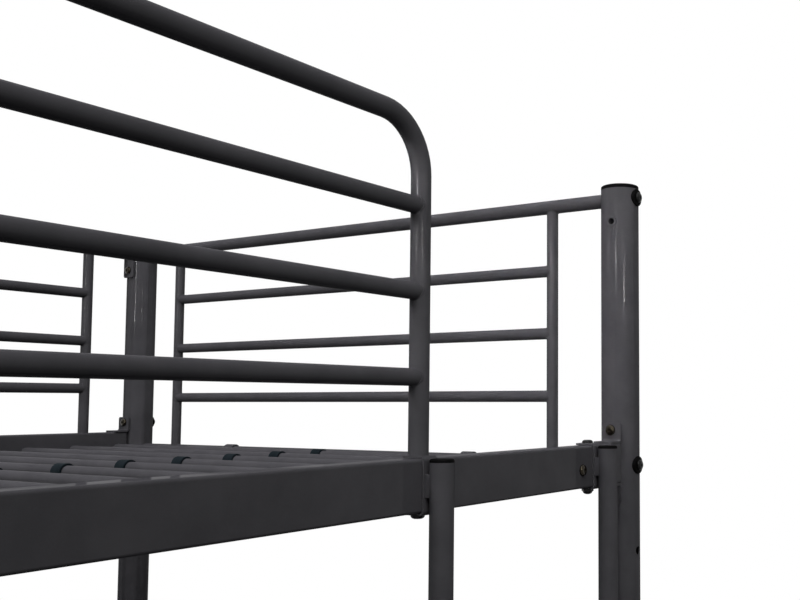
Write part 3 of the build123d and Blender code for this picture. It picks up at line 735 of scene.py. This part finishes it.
def smooth_copy(name, nodes, bevel_width=steel_edge, keep=None, flat_sides=True):
    """Merges the triangles of CAD nodes into one piece with bevelled sharp edges."""
    work = bmesh.new()
    for node in nodes:
        work.from_mesh(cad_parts[node].data)
    bmesh.ops.remove_doubles(work, verts=work.verts, dist=same_place)
    if keep:
        drop_islands(work, keep)
    bmesh.ops.dissolve_limit(work, angle_limit=flat_angle, verts=work.verts, edges=work.edges)
    mesh = to_mesh(work, name)
    set_finish(mesh, powder_coat)
    mesh = shaded(modified(mesh, "BEVEL", width=bevel_width, segments=2, limit_method="ANGLE",
                           angle_limit=sharp_angle))
    if flat_sides:
        mesh = modified(mesh, "WEIGHTED_NORMAL", keep_sharp=True)
    finish_piece(name, mesh, nodes)


# %% Posts, rails, straps and bars
corner_names = [f"{side}_{end}" for side in sides for end in ends]
insert_edge = 0.12 * MM
for corner in corner_names:
    for half in ("upper", "lower"):
        smooth_copy(f"post_{half}_half_{corner}", [f"post_{half}_{corner}"], flat_sides=False)
for deck in deck_heights:
    for side in sides:
        smooth_copy(f"rail_{deck}_{side}", [f"side_rail_{deck}_{side}"])
        smooth_copy(f"bar_{deck}_{side}", [f"support_bar_{deck}_{side}"])
    smooth_copy(f"spine_{deck}", [f"slat_spine_{deck}"])
smooth_copy("guard_inserts", ["post_inserts"], bevel_width=insert_edge)
for end in ends:
    smooth_copy(f"strap_{end}", [f"ladder_strap_{end}"])
    smooth_copy(f"ladder_upright_{end}", [f"ladder_stile_{end}"], flat_sides=False)


# %% Guard plates
def is_plate(middle):
    """The end plates are the only shells whose middle lies beyond the ends of the top tube."""
    return abs(middle.x) > guard_end_x + tab_thickness / 4


smooth_copy("guard_plate_front", ["guard_front_loop"], keep=is_plate)
smooth_copy("guard_plates_back", ["guard_back"], keep=is_plate)

# %% [markdown]
# ## Turned pieces
#
# Bolt heads, nuts, washers, caps and feet are round, and a lathe would make them. A list of rings does the
# same: each ring has a radius and a height, and neighbouring rings are joined. A ring can also be six-sided,
# which gives a hexagon socket or the flats of a nut without any cutting, or it can follow the skin of a post.
# A solid shape is closed with a face at both ends. A pierced one joins its last ring to its first.


# %% Helpers: rings into a closed shape
def ring_point(angle, radius, height, kind="round"):
    """One point of a ring: round, hexagon, or saddle where it follows a post's skin."""
    if kind == "hexagon":
        off = (angle % (math.pi / 3)) - math.pi / 6
        radius = radius * math.cos(math.pi / 6) / math.cos(off)
    y = radius * math.sin(angle)
    if kind == "saddle":
        height = math.sqrt(post_radius ** 2 - y ** 2) - post_radius
    return radius * math.cos(angle), y, height


def ring_shape(name, rings, count, pierced=False):
    """A mesh through rings of (radius, height) or (radius, height, kind)."""
    work = bmesh.new()
    angles = [2 * math.pi * i / count for i in range(count)]
    made = [[work.verts.new(ring_point(angle, *ring)) for angle in angles] for ring in rings]
    for lower, upper in zip(made, made[1:] + made[:1] if pierced else made[1:]):
        for i in range(count):
            j = (i + 1) % count
            work.faces.new((lower[i], lower[j], upper[j], upper[i]))
    if not pierced:
        work.faces.new(list(reversed(made[0])))
        work.faces.new(made[-1])
    return to_mesh(work, name)


def dome(radius, low, high, top_radius, steps):
    """Rings that round a dome over from a radius at one height to a flat at another."""
    rings = []
    for i in range(steps + 1):
        angle = math.pi / 2 * i / steps
        reach = top_radius + (radius - top_radius) * math.cos(angle)
        rings.append((reach, low + (high - low) * math.sin(angle)))
    return rings


# %% [markdown]
# ## Bolts, nuts and washers
#
# Button-head bolts with a hexagon socket hold everything. Their heads are wide and low, and the socket's dark
# well is what the eye picks out. Cap nuts cover the bolt ends on the outside of the posts. Under each one is
# a plastic saddle washer, flat outside and hollow inside, so that it sits on the round post. The same tree
# puts all of them in place: a point for each, the axis it faces as an attribute, a seeded random turn about
# that axis so that no two sockets line up, and the shape itself as an object input.

# %% Tree: one shape on every point
put_tree, given = new_tree("shape_on_points", Shape="Object", Seed="Int", Freedom="Float")
chance = add(put_tree, "FunctionNodeRandomValue", data_type="FLOAT")
random_value = [socket for socket in chance.outputs if socket.enabled][0]
random_inputs = {socket.name: place for place, socket in enumerate(chance.inputs) if socket.enabled}
set_inputs(chance, {random_inputs["Max"]: given["Freedom"], random_inputs["Seed"]: given["Seed"]})
spin = add(put_tree, "FunctionNodeAxisAngleToRotation", {"Axis": up, "Angle": random_value})
spun = add(put_tree, "FunctionNodeRotateRotation", {"Rotation": point_turn(put_tree),
                                                    "Rotate By": spin.outputs["Rotation"]},
           rotation_space="LOCAL")
shape = add(put_tree, "GeometryNodeObjectInfo", {"Object": given["Shape"]})
shapes = instances(put_tree, given["Geometry"], shape.outputs["Geometry"], spun.outputs["Rotation"])
close_tree(put_tree, shapes, given["Finish"])


def put_shapes(name, shape_mesh, places, finish, stands_for, seed=None):
    """Puts a shape at every (place, out axis, cross axis). With a seed, each is turned at random."""
    shape_object = new_object("shape", shape_mesh)
    freedom = 0.0 if seed is None else math.pi / 3
    mesh = grow(put_tree, seed_points(places), finish, Shape=shape_object, Seed=seed or 0, Freedom=freedom)
    bpy.data.objects.remove(shape_object)
    finish_piece(name, mesh, stands_for)


# %% Shapes of the fasteners
round_sides = 24
bolt_half = 4 * MM
head_half = 7 * MM
head_high = 4 * MM
head_bevel = 0.3 * MM
head_wall = 0.7 * MM
socket_half = 2.3 * MM
socket_deep = 2.2 * MM
socket_edge = 0.2 * MM
socket_flare = 0.25 * MM
socket_land = 0.9 * MM
nut_half = 7.5 * MM
nut_high = 7 * MM
nut_bevel = 0.5 * MM
nut_flats = 2.9 * MM
nut_neck = 0.86 * nut_half
nut_dome = 0.80 * nut_half
nut_dome_low = 3.5 * MM
nut_tip = 0.6 * MM
washer_half = 11.5 * MM
washer_thick = 2 * MM
washer_hole = 4.2 * MM
washer_edge = 0.6 * MM
washer_sides = 32


def bolt_shape(shank):
    """A button head with a hexagon socket, on a plain shank below its seat."""
    rings = [(bolt_half, -shank), (bolt_half, 0), (head_half - head_bevel, 0), (head_half, head_bevel)]
    rings += dome(head_half, head_wall, head_high, socket_half + socket_land, steps=5)
    rings += [(socket_half + socket_flare, head_high, "hexagon"),
              (socket_half, head_high - socket_edge, "hexagon"),
              (socket_half, head_high - socket_deep, "hexagon")]
    return ring_shape("bolt", rings, round_sides)


def cap_nut_shape():
    """A six-sided skirt with its corners turned off, and a dome."""
    rings = [(nut_half - nut_bevel, 0), (nut_half, nut_bevel, "hexagon"), (nut_half, nut_flats, "hexagon"),
             (nut_neck, nut_flats + nut_bevel)]
    rings += dome(nut_dome, nut_dome_low, nut_high, nut_tip, steps=6)
    return ring_shape("cap_nut", rings, round_sides)


def saddle_shape():
    """A washer with a rounded rim whose inner face is hollowed to a post along its own X."""
    rings = [(washer_hole, 0, "saddle"), (washer_half, 0, "saddle"),
             (washer_half, washer_thick - washer_edge), (washer_half - washer_edge, washer_thick),
             (washer_hole, washer_thick)]
    return ring_shape("saddle_washer", rings, washer_sides, pierced=True)


print("bolt faces", len(bolt_shape(shank=30 * MM).polygons), "nut faces", len(cap_nut_shape().polygons))

# %% [markdown]
# One table says what each piece of fasteners is: its shape, its finish, its slot, the solids that it stands
# for and the seed of its free turns. The saddles are plastic, but their row gives the slot of their solids.
# They lie against a post and can't turn, so they have no seed. A second table collects the places, deck by
# deck and corner by corner.

# %% Table of the fasteners
fasteners = {
    "panel_bolt_heads": (bolt_shape(shank=66 * MM), blackened_steel, "blackened_steel", "panel_bolts", 3),
    "panel_saddles": (saddle_shape(), black_plastic, "blackened_steel", "panel_bolt_washers", None),
    "ear_bolts": (bolt_shape(shank=55 * MM), bronzed_steel, "bronzed_steel", "rail_bolts", 5),
    "guard_bolts": (bolt_shape(shank=17 * MM), bronzed_steel, "bronzed_steel", "rail_bolts", 6),
    "ear_cap_nuts": (cap_nut_shape(), blackened_steel, "blackened_steel", "rail_cap_nuts", 7),
    "ear_saddles": (saddle_shape(), black_plastic, "blackened_steel", "rail_nut_washers", None),
    "tie_screw_heads": (bolt_shape(shank=30 * MM), bronzed_steel, "bronzed_steel", "slat_tie_screws", 9),
    "guard_foot_bolt_heads": (bolt_shape(shank=60 * MM), blackened_steel, "blackened_steel",
                              "guard_foot_bolts", 11),
    "strap_bolt_head": (bolt_shape(shank=56 * MM), blackened_steel, "blackened_steel",
                        "ladder_strap_bolt", 13),
    "strap_cap_nut": (cap_nut_shape(), blackened_steel, "blackened_steel", "ladder_strap_nut", 15)}
print(len(fasteners), "pieces of fasteners")

# %% Places of the fasteners
washer_reach = post_radius + washer_thick
ear_thickness = 3 * MM
ear_reach = post_radius + ear_thickness
ear_bolt_rises = (17.2 * MM, -68 * MM)
plate_bolt_rise = 292.8 * MM
places = {name: [] for name in fasteners}
for deck, height in deck_heights.items():
    for side, side_sign in sides.items():
        y = side_y[side]
        sideways = (0, side_sign, 0)
        for end, end_sign in ends.items():
            x = end_sign * end_x
            for rise in (panel_top, panel_bottom):
                z = height + rise
                places["panel_saddles"].append(((x, y + side_sign * post_radius, z), sideways, up))
                places["panel_bolt_heads"].append(((x, y + side_sign * washer_reach, z), sideways, up))
            outwards = (end_sign, 0, 0)
            inwards = (-end_sign, 0, 0)
            for rise in ear_bolt_rises:
                z = height + rise
                places["ear_saddles"].append(((x + end_sign * post_radius, y, z), outwards, up))
                places["ear_cap_nuts"].append(((x + end_sign * washer_reach, y, z), outwards, up))
                places["ear_bolts"].append(((x - end_sign * ear_reach, y, z), inwards, up))
            if deck == "upper" and (side, end) != ("front", "right"):
                plate = (end_sign * guard_end_x, y, height + plate_bolt_rise)
                places["guard_bolts"].append((plate, inwards, up))
        rail_face = y + side_sign * (rail_outset + rail_half)
        for x in (slat_places[1], slat_places[-2]):
            places["tie_screw_heads"].append(((x, rail_face, height + slat_drop), sideways, up))
under_rail = upper_deck - rail_height
under_strap = under_rail - strap_stack
for side, y in guard_y.items():
    places["guard_foot_bolt_heads"] += [((x, y, under_rail), down, along_x) for x in uprights[side]]
places["guard_foot_bolt_heads"].append(((ladder_far_x, front_plane, under_strap), down, along_x))
places["strap_bolt_head"].append(((ladder_near_x, front_plane, upper_deck + strap_stack), up, along_x))
places["strap_cap_nut"].append(((ladder_near_x, front_plane, under_strap), down, along_x))
print({name: len(spots) for name, spots in places.items()})

# %% Put the fasteners in place
for name, (shape_mesh, finish, slot, node, seed) in fasteners.items():
    put_shapes(name, shape_mesh, places[name], finish, [node], seed)

# %% [markdown]
# ## Clips on the slats
#
# A dark plastic clip sits over the middle of each slat and stands on the strip below. It is a thin saddle
# moulded in one piece, with soft edges. Its section is drawn as an arch of points inside and out, stretched
# along the slat, bevelled, and then put on every slat by the same tree.

# %% Clips
clip_slack = 0.05 * MM
clip_wall = 2.5 * MM
clip_half_width = 9.25 * MM
clip_edge = 0.5 * MM
arch_steps = 14


def clip_shape():
    """An arch over a slat with two straight legs, stretched along Y and bevelled."""
    inner = slat_radius + clip_slack
    outer = inner + clip_wall
    foot = -inner
    arch = [math.pi * i / arch_steps for i in range(arch_steps + 1)]
    outline = [(outer, foot)] + [(outer * math.cos(a), outer * math.sin(a)) for a in arch] + [(-outer, foot)]
    outline += [(-inner, foot)] + [(inner * math.cos(a), inner * math.sin(a)) for a in reversed(arch)]
    outline += [(inner, foot)]
    work = bmesh.new()
    front = [work.verts.new((x, -clip_half_width, z)) for x, z in outline]
    back = [work.verts.new((x, clip_half_width, z)) for x, z in outline]
    count = len(outline)
    for i in range(count):
        j = (i + 1) % count
        work.faces.new((front[j], front[i], back[i], back[j]))
    for i in range(count // 2 - 1):
        k = count - 1 - i
        work.faces.new((front[i], front[i + 1], front[k - 1], front[k]))
        work.faces.new((back[i + 1], back[i], back[k], back[k - 1]))
    bmesh.ops.recalc_face_normals(work, faces=work.faces)
    sharp = [edge for edge in work.edges if edge.calc_face_angle(0) > sharp_angle]
    bmesh.ops.bevel(work, geom=sharp, offset=clip_edge, segments=2, affect="EDGES", clamp_overlap=True)
    return to_mesh(work, "clip")


for deck, height in deck_heights.items():
    clip_places = [((x, middle_y, height + slat_drop), up, along_x) for x in slat_places]
    put_shapes(f"clips_{deck}", clip_shape(), clip_places, clip_plastic,
               [f"slat_clips_{deck}"])

# %% [markdown]
# ## Caps and feet
#
# The posts are closed by black plastic caps with a rounded rim, and stand on plastic feet whose lower edge is
# rounded, so that they slide on a carpet. The ladder has smaller ones. All are turned shapes, with enough
# rings for a soft edge.


# %% Helpers for caps and feet
def foot_rings(half, edge, sole, plug, depth):
    """A foot: an edge of (inset, height) rows in millimetres, a wall as high as the sole, and a plug."""
    rings = [(half - inset * MM, level * MM) for inset, level in edge]
    return rings + [(half, sole), (plug, sole), (plug, depth)]


def moulded_piece(name, rings, count, places, stands_for):
    """One turned shape in black plastic, upright at every place."""
    rows = [(place, up, along_x) for place in places]
    put_shapes(name, ring_shape(name, rings, count), rows, black_plastic, stands_for)


# %% Caps and feet of the posts
post_sides = 48
post_top = upper_deck + 338.4 * MM
cap_rise = 5.5 * MM
cap_edge = 2.2 * MM
cap_crown = ((0.55 * post_radius, cap_rise - 0.04 * MM), (0.2 * post_radius, cap_rise))
cap_flat = cap_rise - 0.15 * MM
plug_half = 23.7 * MM
plug_depth = 8.0 * MM
cap_rings = [(plug_half, -plug_depth), (plug_half, 0), (post_radius, 0)]
cap_rings += dome(post_radius, cap_rise - cap_edge, cap_flat, post_radius - cap_edge, steps=6)
cap_rings += cap_crown
foot_edge = ((2.0, 0.0), (1.2, 0.25), (0.35, 0.9), (0.0, 2.0))
post_foot = foot_rings(post_radius, foot_edge, sole=6.0 * MM, plug=plug_half, depth=24.0 * MM)
for corner in corner_names:
    side, end = corner.split("_")
    x = ends[end] * end_x
    y = side_y[side]
    moulded_piece(f"cap_{corner}", cap_rings, post_sides, [(x, y, post_top)], [f"post_cap_{corner}"])
    moulded_piece(f"foot_{corner}", post_foot, post_sides, [(x, y, 0.0)], [f"post_foot_{corner}"])

# %% Caps and feet of the ladder
ladder_sides = 36
ladder_bore = 10.05 * MM
ladder_plug_depth = 16 * MM
ladder_cap_rise = 3.3 * MM
ladder_cap_edge = 1.8 * MM
ladder_top = upper_deck - ladder_cap_rise
cap_rings = [(ladder_bore, -ladder_plug_depth), (ladder_bore, 0), (ladder_half, 0)]
cap_rings += dome(ladder_half, ladder_cap_rise - ladder_cap_edge, ladder_cap_rise,
                  ladder_half - ladder_cap_edge, steps=5)
foot_edge = ((1.4, 0.0), (0.4, 0.4), (0.0, 1.4))
ladder_foot = foot_rings(ladder_half, foot_edge, sole=6 * MM, plug=ladder_bore, depth=20 * MM)
tops = [(x, ladder_y, ladder_top) for x in (ladder_far_x, ladder_near_x)]
bottoms = [(x, ladder_y, 0.0) for x in (ladder_far_x, ladder_near_x)]
moulded_piece("ladder_top_caps", cap_rings, ladder_sides, tops, ["ladder_caps"])
moulded_piece("ladder_plastic_feet", ladder_foot, ladder_sides, bottoms, ["ladder_feet"])

# %% [markdown]
# ## What stays as it is
#
# The sleeves in the posts and the threaded plugs in the tubes are hidden, and their solids are right. They
# stay, and only get the zinc finish.

# %% Hidden steel
for name in ("post_couplers", "thread_inserts", "guard_foot_plugs"):
    set_finish(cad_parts[name].data, zinc_steel)
